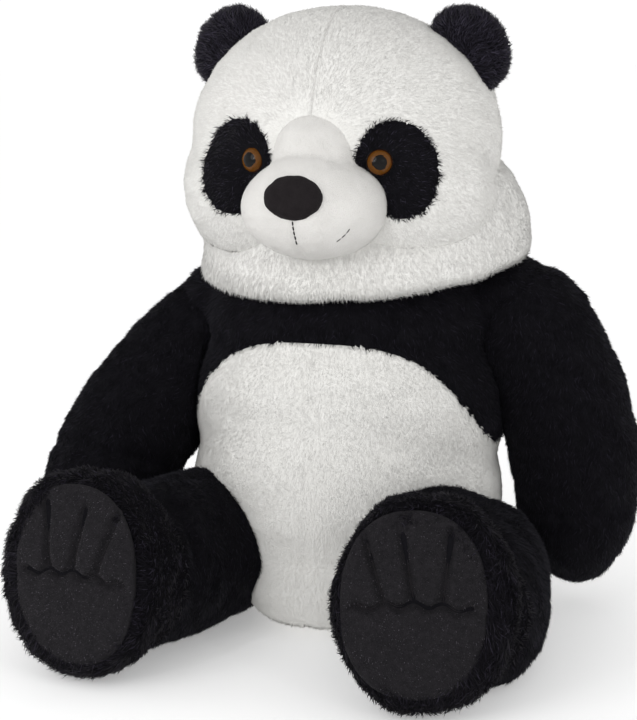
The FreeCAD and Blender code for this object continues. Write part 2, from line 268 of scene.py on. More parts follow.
def cloth_material(name, dark, light, patch, grain, bump, roughness=0.9, sheen=0.25):
    """Pile cloth: soft patches of shade, fine fibre grain and its bump."""
    material, nodes, links, shader = node_material(name)
    where = nodes.new("ShaderNodeTexCoord")
    broad = noise_texture(nodes, 1 / (patch * MM), Detail=3.0)
    fine = noise_texture(nodes, 1 / (grain * MM), Detail=4.0)
    mix = nodes.new("ShaderNodeMath")
    mix.operation = "MULTIPLY_ADD"
    mix.inputs[1].default_value = 0.6
    half = nodes.new("ShaderNodeMath")
    half.operation = "MULTIPLY"
    half.inputs[1].default_value = 0.4
    ramp = colour_ramp(nodes, dark, light, ends=(0.3, 0.7))
    rise = nodes.new("ShaderNodeBump")
    rise.inputs["Strength"].default_value = bump
    rise.inputs["Distance"].default_value = 1.5 * MM
    for texture in (broad, fine):
        links.new(where.outputs["Object"], texture.inputs["Vector"])
    links.new(broad.outputs["Fac"], half.inputs[0])
    links.new(fine.outputs["Fac"], mix.inputs[0])
    links.new(half.outputs[0], mix.inputs[2])
    links.new(mix.outputs[0], ramp.inputs["Fac"])
    links.new(ramp.outputs["Color"], shader.inputs["Base Color"])
    links.new(fine.outputs["Fac"], rise.inputs["Height"])
    links.new(rise.outputs["Normal"], shader.inputs["Normal"])
    shader.inputs["Roughness"].default_value = roughness
    shader.inputs["Specular IOR Level"].default_value = 0.12
    set_sheen(shader, sheen, light)
    return material


def pile_materials(name, colour, spread, sheen=0.3, tint=None):
    """Plain shades for loose tufts: each tuft takes one of them."""
    out = []
    for i, factor in enumerate(spread):
        material, _, _, shader = node_material("%s_%d" % (name, i))
        shader.inputs["Base Color"].default_value = (*[c * factor for c in colour], 1)
        shader.inputs["Roughness"].default_value = 0.85
        shader.inputs["Specular IOR Level"].default_value = 0.1
        set_sheen(shader, sheen, tint or colour)
        out.append(material)
    return out


WHITE = (0.83, 0.82, 0.79)
BLACK = (0.0042, 0.0037, 0.0056)
VELOUR = (0.012, 0.011, 0.013)
CLOTH = {
    "white": cloth_material("white_plush", (0.74, 0.73, 0.70), (0.86, 0.855, 0.83), 40, 1.6, 0.6),
    "muzzle": cloth_material("shorn_white_plush", (0.69, 0.675, 0.65), (0.79, 0.775, 0.75), 30, 1.1, 0.8),
    "black": cloth_material("black_plush", (0.002, 0.002, 0.003), (0.006, 0.0055, 0.008), 40, 1.6, 0.6),
    "sole": cloth_material("sole_velour", (0.006, 0.006, 0.007), (0.022, 0.020, 0.023), 6, 1.0, 0.9),
    "suede": cloth_material("nose_suede", (0.007, 0.005, 0.006), (0.017, 0.014, 0.015), 9, 0.9, 0.8,
                            roughness=0.75, sheen=0.4),
    "thread": cloth_material("black_thread", (0.008, 0.007, 0.008), (0.03, 0.027, 0.03), 3, 0.5, 0.5),
    "label": cloth_material("label_satin", (0.78, 0.78, 0.76), (0.88, 0.88, 0.86), 12, 0.6, 0.3,
                            roughness=0.5),
    "stuffing": cloth_material("fibre_stuffing", (0.72, 0.72, 0.72), (0.85, 0.85, 0.85), 15, 2.0, 0.9),
}
PILE_GLEAM = (0.6, 0.58, 0.62)
PILE = {
    # The head pile is the body white darkened to 0.91: painted shade on the face, muzzle and neck pile.
    "head": pile_materials("shaded_head_pile", [c * 0.91 for c in WHITE], (1.0, 0.994, 0.985, 1.004), sheen=0.1),
    "white": pile_materials("white_pile", WHITE, (1.0, 0.994, 0.985, 1.004), sheen=0.2),
    "black": pile_materials("black_pile", BLACK, (1.0, 0.6, 1.8, 4.0), sheen=0.05, tint=(0.5, 0.5, 0.6)),
    "curly": pile_materials("ear_pile", BLACK, (4.0, 2.0, 7.0, 14.0), sheen=0.15, tint=PILE_GLEAM),
    # The brightest rim shades, 3.2 and 8 times the black, are painted glints of glossy strands on the eye
    # patches and foot rims.
    "rim": pile_materials("foot_rim_pile", BLACK, (1.3, 0.8, 3.2, 8.0), sheen=0.08, tint=PILE_GLEAM),
    # The brightest velour shades, 3.6 and 13 times its colour, are painted glints speckling the sole pads.
    "velour": pile_materials("velour_pile_painted_glints", VELOUR, (1.0, 0.3, 3.6, 13.0), sheen=0.12, tint=PILE_GLEAM),
}


def cover_and_filling(part):
    return [part + "_cover", part + "_filling"]


def finish_piece(obj, body, material=None, stands_for=()):
    """Body, material and the CAD nodes that a finished piece stands for."""
    if material:
        obj.data.materials.clear()
        obj.data.materials.append(material)
    if isinstance(body, str):
        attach(obj, body)
    else:
        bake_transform(obj)
    if stands_for:
        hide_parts(*stands_for)
    return obj


# -------- pile

def scatter(skin, spacing, rng, outside):
    """Random places on the outer side of a skin: positions, normals."""
    skin.data.calc_loop_triangles()
    tris = np.empty(len(skin.data.loop_triangles) * 3, int)
    skin.data.loop_triangles.foreach_get("vertices", tris)
    tris = tris.reshape(-1, 3)
    co, no = get_co(skin), normals_of(skin)
    a, b, c = (co[tris[:, k]] for k in range(3))
    cross = np.cross(b - a, c - a)
    facing = outside((a + b + c) / 3) if outside else no[tris[:, 0]]
    keep = np.einsum("ij,ij->i", cross, facing) > 0
    tris, cross = tris[keep], cross[keep]
    total = np.cumsum(np.linalg.norm(cross, axis=1) / 2)
    count = int(total[-1] / (spacing * MM) ** 2)
    pick = np.searchsorted(total, (np.arange(count) + rng.random(count)) / count * total[-1])
    pick = np.minimum(pick, len(tris) - 1)
    u, v = rng.random(count), rng.random(count)
    flip = u + v > 1
    u[flip], v[flip] = 1 - u[flip], 1 - v[flip]
    shares = np.stack([1 - u - v, u, v])[:, :, None]
    corners = tris[pick].T
    return (co[corners] * shares).sum(axis=0), unit((no[corners] * shares).sum(axis=0))


def tuft_faces(segments):
    """Triangles of one tuft, a closed three-sided spike with some rings and a tip."""
    tris = [(2, 1, 0)]
    for base in range(0, 3 * (segments - 1), 3):
        for k in range(3):
            n = (k + 1) % 3
            tris += [(base + k, base + n, base + 3 + n), (base + k, base + 3 + n, base + 3 + k)]
    top = 3 * (segments - 1)
    tris += [(top + k, top + (k + 1) % 3, top + 3) for k in range(3)]
    return np.array(tris)


def tuft_mesh(name, co, each, tris):
    """One mesh of many alike tufts with the given number of points each."""
    count = len(co) // each
    faces = (tris[None] + (np.arange(count) * each)[:, None, None]).reshape(-1, 3)
    mesh = bpy.data.meshes.new(name)
    mesh.vertices.add(len(co))
    mesh.vertices.foreach_set("co", co.ravel())
    mesh.loops.add(faces.size)
    mesh.loops.foreach_set("vertex_index", faces.ravel().astype(np.int32))
    mesh.polygons.add(len(faces))
    mesh.polygons.foreach_set("loop_start", np.arange(0, faces.size, 3, dtype=np.int32))
    return mesh


def pile(name, skin, body, slot, shades, length, lay, spacing=2.1, width=1.5, rise=0.5, curl=0.0,
         seed=1, mask=None, outside=None, softness=0.75, ruffle=0.22, tousle=1.0, sink=1.0):
    """Fur: one closed tapered tuft at each scattered place.

    lay gives the direction that the pile is brushed in, rise how far it stands up from the skin,
    curl how much each tuft bends over, softness how much of the skin's shading it takes,
    ruffle how much that shading varies, and tousle how much the lay does.
    """
    rng = np.random.default_rng(seed)
    root, normal = scatter(skin, spacing, rng, outside)
    if mask is not None:
        keep = mask(local(root))
        root, normal = root[keep], normal[keep]
    count = len(root)
    brushed = lay(local(root))
    tangent = brushed - normal * np.einsum("ij,ij->i", brushed, normal)[:, None]
    side = np.cross(normal, tangent)
    swirl = tousle * (0.9 * waves(root, 0.03, seed + 5) + 0.35 * rng.normal(size=count))
    tangent = unit(unit(tangent) + unit(side) * swirl[:, None] + 0.15 * rng.normal(size=(count, 3)))
    stand = rise + tousle * (0.18 * waves(root, 0.018, seed + 9) + 0.12 * rng.normal(size=count))
    stand = np.clip(stand, 0.12, 1.2)
    first = unit(normal * stand[:, None] + tangent * (1 - 0.5 * stand)[:, None])
    size = length(local(root)) if callable(length) else np.full(count, float(length))
    size = size * rng.uniform(0.7, 1.2, count) * MM
    radius = width * MM * rng.uniform(0.7, 1.2, count) * 0.5
    root = root - normal * sink * MM
    segments = 3 if curl else 1
    across = unit(np.cross(first, rng.normal(size=(count, 3))))
    rings, here, heading = [], root, first
    bend = unit(tangent - 0.6 * normal + 0.5 * rng.normal(size=(count, 3)))
    for step in range(segments):
        other = np.cross(heading, across)
        r = (radius * (1 - 0.75 * step / segments))[:, None]
        for k in range(3):
            angle = 2 * math.pi * k / 3
            rings.append(here + (across * math.cos(angle) + other * math.sin(angle)) * r)
        here = here + heading * (size / segments)[:, None]
        heading = unit(heading + bend * curl)
    rings.append(here)
    each = len(rings)
    tris = tuft_faces(segments)
    mesh = tuft_mesh(name, np.stack(rings, axis=1).reshape(-1, 3), each, tris)
    for material in shades:
        mesh.materials.append(material)
    shade = rng.choice(len(shades), count, p=SHADE_SHARES[:len(shades)])
    mesh.polygons.foreach_set("material_index", np.repeat(shade, len(tris)).astype(np.int32))
    mesh.update(calc_edges=True)
    mesh.polygons.foreach_set("use_smooth", np.ones(len(mesh.polygons), bool))
    each_normal = unit(normal * softness + first * (1 - softness) * 0.6
                       + ruffle * rng.normal(size=(count, 3)))
    mesh.normals_split_custom_set_from_vertices(np.repeat(each_normal, each, axis=0))
    obj = link(name, mesh)
    return finish_piece(obj, body)


# The last, smallest share takes each pile's brightest shade; in the rim and velour piles those tufts are
# painted glints.
SHADE_SHARES = np.array([0.46, 0.3, 0.19, 0.05])
FEEL = {
    "white": {"rise": 0.24, "softness": 1.0, "ruffle": 0.02, "tousle": 0.25, "sink": 0.3},
    "black": {"rise": 0.3, "softness": 0.8, "ruffle": 0.18, "sink": 0.6},
}
PILE_LENGTH = {"white": 4.8, "black": 8.5}


def downward(co):
    """Brushed down and outward from the middle line."""
    out = np.stack([co[:, 0] * 0.004, co[:, 1] * 0.002, -np.ones(len(co))], axis=1)
    return unit(out)


# -------- head

HEAD_MIDDLE = np.array([0.0, -20.0, 594.0])
EYE = np.array([79.0, -160.0, 578.5])
EYE_LOOK = np.array([0.34, -0.94, 0.06])
EYE_SIZE = 16.0
PATCH = {"x": 99.0, "z": 570.0, "half_width": 46.0, "half_height": 58.0, "lean": 16.0}
MUZZLE_BALLS = [
    ((2, -170, 525), (88, 82, 62)),
    ((0, -160, 583), (51, 50, 54), (-18, 0, 0)),
    ((0, -196, 540), (60, 58, 50)),
]
NOSE = np.array([0.0, -249.0, 542.0])


def head_skin():
    """Round head with full cheeks, a shallow forehead seam and sockets behind the eyes."""
    skin = blob("head_form", [
        ((-2, -18, 596), (197, 162, 166)),
        ((92, -58, 538), (106, 106, 103)),
        ((-93, -58, 540), (106, 106, 103)),
        ((0, -60, 508), (120, 108, 84)),
        ((0, 10, 520), (150, 130, 90)),
    ], voxel=5.0, rounds=30)
    co = local(get_co(skin))
    front = smooth_step(-co[:, 1], -10, 60)
    above = smooth_step(co[:, 2], 600, 640)
    amount = groove(co[:, 0], 1.2, 4.5) * front * above
    for side in SIDES.values():
        eye = EYE * (side, 1, 1)
        amount += groove(np.linalg.norm(co - eye, axis=1), 9.0, 26.0)
    amount += 1.6 * waves(co * MM, 0.09, 3) + 0.6 * waves(co * MM, 0.03, 4)
    push_along_normals(skin, amount)
    return skin


def patch_value(co, side):
    """Above zero inside an eye patch, a leaning oval."""
    lean = math.radians(PATCH["lean"]) * side
    x, z = co[:, 0] - PATCH["x"] * side, co[:, 2] - PATCH["z"]
    across = x * math.cos(lean) + z * math.sin(lean)
    along = -x * math.sin(lean) + z * math.cos(lean)
    oval = 1 - (across / PATCH["half_width"]) ** 2 - (along / PATCH["half_height"]) ** 2
    return np.where(co[:, 1] < -40, oval, -1.0)


def patches_value(co):
    return np.maximum(patch_value(co, 1.0), patch_value(co, -1.0))


def muzzle_value(co):
    """Above zero inside the muzzle's form, for keeping the long pile off it."""
    best = np.full(len(co), -9.0)
    for centre, radii, *_ in MUZZLE_BALLS:
        best = np.maximum(best, 1 - np.sum(((co - centre) / radii) ** 2, axis=1))
    return best


def neck_plane(co):
    """Height above the plane where the head meets the neck."""
    return ((co * MM + MIDDLE - joint_point("neck_nod")) @ NECK_AXIS) / MM


def from_face(co):
    """Head pile: brushed away from the nose, and down over the cheeks and the back."""
    away = co - np.array([0.0, -230.0, 560.0])
    away = unit(away)
    away[:, 2] -= 0.55
    return unit(away)


def make_head():
    skin = head_skin()
    back_y = 12.0
    trimmed = lambda co: neck_plane(co) + 6.0
    faces = {}
    for name, side in SIDES.items():
        inside = lambda co, s=side: np.minimum.reduce(
            [trimmed(co), back_y - co[:, 1], co[:, 0] * s, -patch_value(co, s) * 30])
        faces[name] = finish_piece(panel("face_%s" % name, skin, inside), "head",
                                   CLOTH["white"], ["face_panel_%s" % name])
        patch = finish_piece(panel("patch_%s" % name, skin, lambda co, s=side: patch_value(co, s)),
                             "head", CLOTH["black"], ["eye_patch_%s" % name])
        long_hair = lambda co: 6.5 + 3.0 * smooth_step(patches_value(co), 0.6, 0.0)
        pile("patch_%s_pile" % name, patch, "head", "patch_plush", PILE["rim"], long_hair,
             patch_lay(side), spacing=1.9, width=1.3, rise=0.45, curl=0.35, seed=21 + int(side),
             outside=away_from(HEAD_MIDDLE), mask=clear_of_eye, softness=0.5)
    inside = lambda co: np.minimum(trimmed(co), co[:, 1] - back_y)
    back = finish_piece(panel("head_back", skin, inside), "head", CLOTH["white"],
                        ["head_back_panel", "head_filling"])
    keep = lambda co: (muzzle_value(co) < 0.02) & (patches_value(co) < 0.0)
    length = lambda co: PILE_LENGTH["white"] - 2.0 * smooth_step(muzzle_value(co), -0.9, -0.1)
    outside = away_from(HEAD_MIDDLE)
    for name, side in SIDES.items():
        pile("face_%s_pile" % name, faces[name], "head", "white_head_plush", PILE["head"],
             length, from_face, seed=30 + int(side), mask=keep, outside=outside, **FEEL["white"])
    pile("head_back_pile", back, "head", "white_head_plush", PILE["head"],
         PILE_LENGTH["white"], from_face, spacing=2.2, seed=33, outside=outside, **FEEL["white"])
    bpy.data.objects.remove(skin)


def away_from(middle):
    """Outward test for thin cloth: the side that looks away from a middle point."""
    return lambda place: place - at(middle)


def patch_lay(side):
    eye = EYE * (side, 1, 1)

    def lay(co):
        away = unit(co - eye)
        away[:, 2] -= 0.5
        away[:, 0] += 0.45 * side
        return unit(away)
    return lay


def clear_of_eye(co):
    left = np.linalg.norm(co - EYE, axis=1)
    right = np.linalg.norm(co - EYE * (-1, 1, 1), axis=1)
    return np.minimum(left, right) > EYE_SIZE + 1.0


def make_muzzle():
    """Short-pile muzzle with its suede nose and the stitched mouth."""
    muzzle = blob("muzzle", MUZZLE_BALLS, voxel=3.0, rounds=25)
    co = local(get_co(muzzle))
    below = smooth_step(co[:, 2], 531, 520) * smooth_step(-co[:, 1], 190, 215)
    amount = groove(co[:, 0], 2.6, 4.0) * below
    amount += 0.7 * waves(co * MM, 0.05, 7) + 0.25 * waves(co * MM, 0.014, 8)
    push_along_normals(muzzle, amount)
    finish_piece(muzzle, "head", CLOTH["muzzle"],
                 cover_and_filling("muzzle"))
    short = lambda co: 2.6 + 2.0 * smooth_step(-co[:, 1], 190, 140)
    pile("muzzle_pile", muzzle, "head", "short_white_pile", PILE["head"], short,
         from_face, spacing=1.35, width=0.9, rise=0.4, seed=41, softness=0.95, ruffle=0.06,
         mask=lambda co: (np.sum(((co - NOSE) / (34, 17, 26)) ** 2, axis=1) > 1) & (co[:, 1] < -95))
    make_nose()
    make_mouth(muzzle)


def make_nose():
    """Rounded oval suede nose, a little flatter above."""
    nose = blob("nose_form", [
        (NOSE + (0, 2, 0.5), (34, 15, 26), (-6, 0, 0)),
        (NOSE + (14, 2, 0.5), (21, 14, 20.5), (-6, 0, 0)),
        (NOSE + (-14, 2, 0.5), (21, 14, 20.5), (-6, 0, 0)),
    ], voxel=1.5, rounds=10)
    co = local(get_co(nose))
    push_along_normals(nose, 0.5 * waves(co * MM, 0.016, 11) + 0.15 * waves(co * MM, 0.005, 12))
    finish_piece(nose, "head", CLOTH["suede"], ["nose"])


def band(low, high, steps):
    """Quads between two rings of points, given the first point of each."""
    after = [(k + 1) % steps for k in range(steps)]
    return [(low + k, low + n, high + n, high + k) for k, n in enumerate(after)]


def ring_skin(name, rings):
    """Closed skin through rings of points, capped at both ends."""
    steps = len(rings[0])
    faces = []
    for i in range(len(rings) - 1):
        faces += band(i * steps, (i + 1) * steps, steps)
    faces.append(tuple(range(steps))[::-1])
    faces.append(tuple(range((len(rings) - 1) * steps, len(rings) * steps)))
    return shade_smooth(link_faces(name, np.concatenate(rings), faces))


def ring(middle, wide, deep, steps):
    """Points round an ellipse, from its middle and its two half-axis vectors."""
    angles = 2 * math.pi * np.arange(steps) / steps
    return middle + np.outer(np.cos(angles), wide) + np.outer(np.sin(angles), deep)


def tube_along(name, points, radius, sides=8):
    """Closed tapered thread through some points in the frame."""
    points = np.asarray(points, float)
    heading = unit(np.gradient(points, axis=0))
    across = unit(np.cross(heading, UP + 0.01))
    other = np.cross(heading, across)
    rings = [ring(p, across[i] * radius[i], other[i] * radius[i], sides) for i, p in enumerate(points)]
    return ring_skin(name, rings)


def on_skin(skin, point, look):
    """Nearest hit on a skin from outside, looking along a direction, in the frame."""
    start = Vector(at(point)) - Vector(look) * 0.2
    _, place, normal, _ = skin.ray_cast(start, Vector(look))
    return np.array(place), np.array(normal)


def stitches(name, skin, points, look, pieces, radius=0.9, lift=0.5):
    """A row of separate stitches lying on a skin, along a line of points, joined as one node."""
    threads = []
    for i in range(pieces):
        spots = []
        for t in np.linspace(i + 0.08, i + 0.86, 5) / pieces * (len(points) - 1):
            k = min(int(t), len(points) - 2)
            p = points[k] + (points[k + 1] - points[k]) * (t - k)
            place, normal = on_skin(skin, p, look)
            spots.append(place + normal * lift * MM)
        taper = np.array([0.5, 0.95, 1.0, 0.95, 0.5]) * radius * MM
        threads.append(tube_along(name, spots, taper))
    return join(name, threads)


def join(name, objects):
    bm = bmesh.new()
    for obj in objects:
        bm.from_mesh(obj.data)
        bpy.data.objects.remove(obj)
    return shade_smooth(link_bmesh(name, bm))


def make_mouth(muzzle):
    """Upright dashed seam under the nose, and the small tick of a smile on the left cheek."""
    drop = np.array([[0.0, -150.0, z] for z in np.linspace(522, 487, 9)])
    seam = stitches("mouth_seam", muzzle, drop, (0, 1, 0), 6)
    angles = np.radians(np.linspace(-62, -38, 6))
    smile = np.array([[52 * math.cos(a) + 5, -150.0, 552 + 60 * math.sin(a)] for a in angles])
    tick = stitches("smile_tick", muzzle, smile, (-0.2, 0.97, 0.1), 3, radius=0.6, lift=0.2)
    mouth = join("mouth_stitches", [seam, tick])
    finish_piece(mouth, "head", CLOTH["thread"], ["mouth_stitching"])


def make_eye(name, side):
    """Turned dome, coloured as pupil, iris and dark iris edge about the look axis, and a turned seating
    rim.
    """
    centre = EYE * (side, 1, 1)
    look = unit(EYE_LOOK * (side, 1, 1))
    turn = Vector(look).to_track_quat("Z", "Y").to_matrix().to_4x4()
    layers = {
        "dome": [(0, 7.6), (4, 7.3), (8, 6.1), (11.8, 4.0), (14.6, 0.8), (15.6, -2.6), (14.6, -5.0),
                 (6, -6), (0, -6)],
        "ring": [(15.3, -1.2), (16.6, -1.6), (17.2, -3.6), (16.2, -5.6), (14.8, -5.6)],
    }
    parts = {}
    for key, outline in layers.items():
        place = Matrix.Translation(Vector(at(centre))) @ turn
        parts[key] = lathe("eye_%s_%s" % (name, key), outline, place, closed=key == "ring")
    colour_eye(parts["dome"], turn)
    finish_piece(parts["dome"], "head", None, ["eye_%s" % name])
    finish_piece(parts["ring"], "head", EYE_RIM)


def lathe(name, outline, place, closed=False, steps=48):
    """Turned solid from (radius, height) points in millimetres."""
    bm = bmesh.new()
    rings = []
    for r, h in outline:
        circle = ring(UP * h * MM, (r * MM, 0, 0), (0, r * MM, 0), steps if r else 1)
        rings.append([bm.verts.new(place @ Vector(p)) for p in circle])
    pairs = list(zip(rings[:-1], rings[1:])) + ([(rings[-1], rings[0])] if closed else [])
    for low, high in pairs:
        for k in range(steps):
            n = (k + 1) % steps
            if len(low) == 1:
                bm.faces.new((low[0], high[n], high[k]))
            elif len(high) == 1:
                bm.faces.new((low[k], low[n], high[0]))
            else:
                bm.faces.new((low[k], low[n], high[n], high[k]))
    bmesh.ops.recalc_face_normals(bm, faces=bm.faces)
    obj = link_bmesh(name, bm)
    soft = obj.modifiers.new("round", "SUBSURF")
    soft.levels = 2
    return apply_modifiers(obj)


def glossy(name, colour, roughness=0.08, coat=0.3):
    """Moulded eye plastic with faint mottling under a polished coat."""
    material, nodes, links, shader = node_material(name)
    noise = noise_texture(nodes, 900)
    ramp = colour_ramp(nodes, [c * 0.6 for c in colour], [min(1, c * 1.4) for c in colour])
    where = nodes.new("ShaderNodeTexCoord")
    links.new(where.outputs["Object"], noise.inputs["Vector"])
    links.new(noise.outputs["Fac"], ramp.inputs["Fac"])
    links.new(ramp.outputs["Color"], shader.inputs["Base Color"])
    shader.inputs["Roughness"].default_value = roughness
    shader.inputs["Specular IOR Level"].default_value = 0.08
    shader.inputs["Coat Weight"].default_value = coat
    shader.inputs["Coat IOR"].default_value = 1.38
    shader.inputs["Coat Roughness"].default_value = 0.02
    return material


EYE_IRIS = glossy("eye_iris", (0.115, 0.042, 0.006))
EYE_IRIS_EDGE = glossy("eye_iris_edge", (0.05, 0.016, 0.006))
EYE_PUPIL = glossy("eye_pupil", (0.0025, 0.002, 0.002))
EYE_RIM = glossy("eye_rim", (0.006, 0.005, 0.006), roughness=0.2)
WASHER = glossy("washer_plastic", (0.7, 0.7, 0.68), roughness=0.45, coat=0.0)
PUPIL_RADIUS, IRIS_RADIUS = 8.8, 14.0


def colour_eye(dome, turn):
    """Pupil, iris and dark iris edge by distance from the look axis."""
    for material in (EYE_PUPIL, EYE_IRIS, EYE_IRIS_EDGE):
        dome.data.materials.append(material)
    co = get_co(dome)
    middle = (co.min(axis=0) + co.max(axis=0)) / 2
    look = np.array(turn.to_3x3() @ Vector((0, 0, 1)))
    radius = np.linalg.norm((co - middle) - np.outer((co - middle) @ look, look), axis=1) / MM
    index = []
    for face in dome.data.polygons:
        r = radius[list(face.vertices)].mean()
        index.append(int(r >= PUPIL_RADIUS) + int(r >= IRIS_RADIUS))
    dome.data.polygons.foreach_set("material_index", index)


# -------- ears

def ear_frame(side):
    """Base point of an ear in millimetres, its seam direction and its outward direction."""
    name = "left" if side > 0 else "right"
    base = local(joint_point("ear_%s_fold" % name)[None])[0]
    seam = np.array(JOINTS["ear_%s_fold" % name]["axis"])
    outward = np.cross(np.array([0, 1.0, 0]), seam)
    return base, seam, unit(outward if outward[2] > 0 else -outward)


def make_ear(name, side):
    """Round cupped ear with long curly pile."""
    base, seam, outward = ear_frame(side)
    tilt = 90 - math.degrees(math.atan2(outward[2], abs(outward[0])))
    top = base - seam * side * 5
    ear = blob("ear_%s" % name, [
        (top + outward * 8, (54, 20, 46), (0, tilt * side, 0)),
        (top + outward * -3, (48, 18, 20), (0, tilt * side, 0)),
    ], voxel=3.0, rounds=10)
    co = local(get_co(ear))
    middle = base + outward * 16 + np.array([0, -16, 0])
    cup = groove(np.linalg.norm((co - middle) * (1, 0.6, 1), axis=1), 9.0, 26.0)
    push_along_normals(ear, cup * (normals_of(ear)[:, 1] < 0.2) + 0.8 * waves(co * MM, 0.03, 13))
    finish_piece(ear, "ear_%s" % name, CLOTH["black"],
                 cover_and_filling("ear_" + name))

    def lay(co):
        return unit(unit(co - base) + outward * 0.4)
    pile("ear_%s_pile" % name, ear, "ear_%s" % name, "ear_plush", PILE["curly"], 11.0, lay,
         spacing=1.75, rise=0.75, curl=0.75, seed=50 + int(side), softness=0.45)


# -------- torso and neck

BELLY_ARCH = {"middle": 120.0, "half_width": 208.0, "half_height": 238.0, "fullness": 2.9}
SEAT_TOP = 16.0
SIDE_SEAM_Y = 10.0
BACK_TOP = 292.0
TORSO_PILE_FROM = 9.0


def rest_on_floor(co, lift=1.5, give=0.012):
    """Flatten what would hang below the floor, as soft stuffing does."""
    low = co[:, 2] < lift
    co[low, 2] = lift + (co[low, 2] - lift) * give
    return co


def belly_value(co):
    arch = 1 - np.abs(co[:, 0] / BELLY_ARCH["half_width"]) ** BELLY_ARCH["fullness"]
    arch -= (np.maximum(co[:, 2] - BELLY_ARCH["middle"], 0) / BELLY_ARCH["half_height"]) ** 2
    return np.minimum(arch, (SIDE_SEAM_Y - co[:, 1]) / 60)


def back_value(co):
    return np.minimum((co[:, 1] - SIDE_SEAM_Y) / 60, (BACK_TOP - co[:, 2]) / 60)


def make_torso():
    """Pear-shaped torso with rounded shoulders, cut into its four cloth panels."""
    skin = blob("torso_form", [
        ((0, -16, 140), (202, 192, 168)),
        ((-4, -60, 165), (174, 154, 150)),
        ((0, -158, 54), (92, 66, 52)),
        ((0, -2, 260), (202, 182, 170)),
        ((0, 14, 370), (192, 168, 104)),
        ((202, 20, 394), (62, 64, 60)),
        ((-176, 16, 372), (64, 64, 62)),
    ], voxel=6.0, rounds=40)
    co = local(get_co(skin))
    front = smooth_step(-co[:, 1], -10, 80)
    amount = groove(co[:, 0], 2.5, 7.0) * front * (belly_value(co) > 0)
    amount += 2.2 * waves(co * MM, 0.12, 17) + 0.8 * waves(co * MM, 0.04, 18)
    push_along_normals(skin, amount)
    set_co(skin, at(rest_on_floor(local(get_co(skin)))))
    above_seat = lambda co: co[:, 2] - SEAT_TOP
    pieces = {
        "belly": (lambda co: np.minimum(belly_value(co) * 60, above_seat(co)), "white",
                  "white_body_plush", ["belly_panel"]),
        "back": (lambda co: np.minimum(back_value(co) * 60, above_seat(co)), "white",
                 "white_body_plush", ["back_panel", "torso_filling"]),
        "yoke": (lambda co: np.minimum(-np.maximum(belly_value(co), back_value(co)) * 60, above_seat(co)),
                 "black", "black_plush", ["yoke_panel"]),
        "seat": (lambda co: -above_seat(co), "white", "white_body_plush", ["seat_panel"]),
    }
    outside = away_from((0, 0, 220))
    for i, (name, (inside, cloth, slot, nodes)) in enumerate(pieces.items()):
        cut = finish_piece(panel(name, skin, inside), "torso", CLOTH[cloth], nodes)
        off_floor = lambda co: co[:, 2] > TORSO_PILE_FROM
        pile(name + "_pile", cut, "torso", slot, PILE[cloth], PILE_LENGTH[cloth],
             downward, seed=60 + i, outside=outside, mask=off_floor, **FEEL[cloth])
    bpy.data.objects.remove(skin)


NECK_RINGS = [(-8, 203, 178), (-2, 210, 186), (6, 211, 188), (20, 210, 182), (40, 208, 172), (62, 205, 160),
              (84, 201, 150), (104, 196, 140), (118, 186, 130), (126, 164, 112)]
NECK_STEPS = 120
RUFF_SHIFT, RUFF_TILT = 15.0, 0.065


def make_neck():
    """White ruff that flares from the cheeks to the shoulders."""
    wide = np.array([1.0, 0, 0])
    deep = np.cross(NECK_AXIS, wide)
    heights = [r[0] for r in NECK_RINGS]
    rings = []
    for h in np.linspace(heights[0], heights[-1], 34):
        half_width, half_depth = (np.interp(h, heights, [r[k] for r in NECK_RINGS]) for k in (1, 2))
        low = smooth_step(h, 210, 10)
        middle = NECK + NECK_AXIS * h * MM + deep * 4 * MM + wide * RUFF_SHIFT * low * MM
        rings.append(ring(middle, wide * half_width * MM, deep * half_depth * MM, NECK_STEPS))
    neck = ring_skin("neck", rings)
    co = local(get_co(neck))
    co[:, 2] += RUFF_TILT * co[:, 0] * smooth_step(neck_plane(co), 60, -20)
    set_co(neck, at(co))
    push_along_normals(neck, 1.6 * waves(co * MM, 0.08, 23) + 0.7 * waves(co * MM, 0.03, 24))
    across = ("neck", "head", tuple(NECK + NECK_AXIS * 12 * MM), tuple(NECK + NECK_AXIS * 80 * MM))
    outward = away_from(local(NECK[None])[0])
    finish_piece(neck, across, CLOTH["white"], ["neck_cover"])
    length = lambda co: PILE_LENGTH["white"] + 5.0 * smooth_step(neck_plane(co), -20, -42)
    pile("neck_pile", neck, across, "white_head_plush", PILE["head"], length, downward,
         seed=71, outside=outward, mask=lambda co: (neck_plane(co) > -56) & (muzzle_value(co) < 0),
         **FEEL["white"])


def make_label():
    """Blank satin care label sewn into the seam behind the seat."""
    low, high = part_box("care_label")
    width, reach = high.x - low.x, high.y - low.y
    rows, columns = 14, 8
    top = []
    for i in range(rows + 1):
        t = i / rows
        drop = 0.35 * reach * t * t
        for k in range(columns + 1):
            s = k / columns
            curl = 0.8 * MM * math.sin(math.pi * s) * t
            top.append(Vector((low.x + width * s, low.y + reach * t, high.z + curl - drop + 3 * MM)))
    faces = [(i * (columns + 1) + k, i * (columns + 1) + k + 1,
              (i + 1) * (columns + 1) + k + 1, (i + 1) * (columns + 1) + k)
             for i in range(rows) for k in range(columns)]
    label = link_faces("care_label_tape", top, faces)
    cloth = label.modifiers.new("tape", "SOLIDIFY")
    cloth.thickness = 0.5 * MM
    apply_modifiers(label)
    finish_piece(label, "torso", CLOTH["label"], ["care_label"])


# -------- arms

ARM_SHOULDER = np.array([226.0, 22.0, 366.0])
ARM_LINE = [(226, 22, 366, 76), (252, 30, 318, 79), (272, 36, 262, 82), (286, 38, 205, 82),
            (290, 36, 155, 78), (292, 30, 112, 68), (292, 27, 98, 61)]
ARM_INSIDE = {"left": 186.0, "right": 172.0}
ARM_SWING = {"left": 0.0, "right": 45.0}
ARM_SWING_LEAN = 10.0


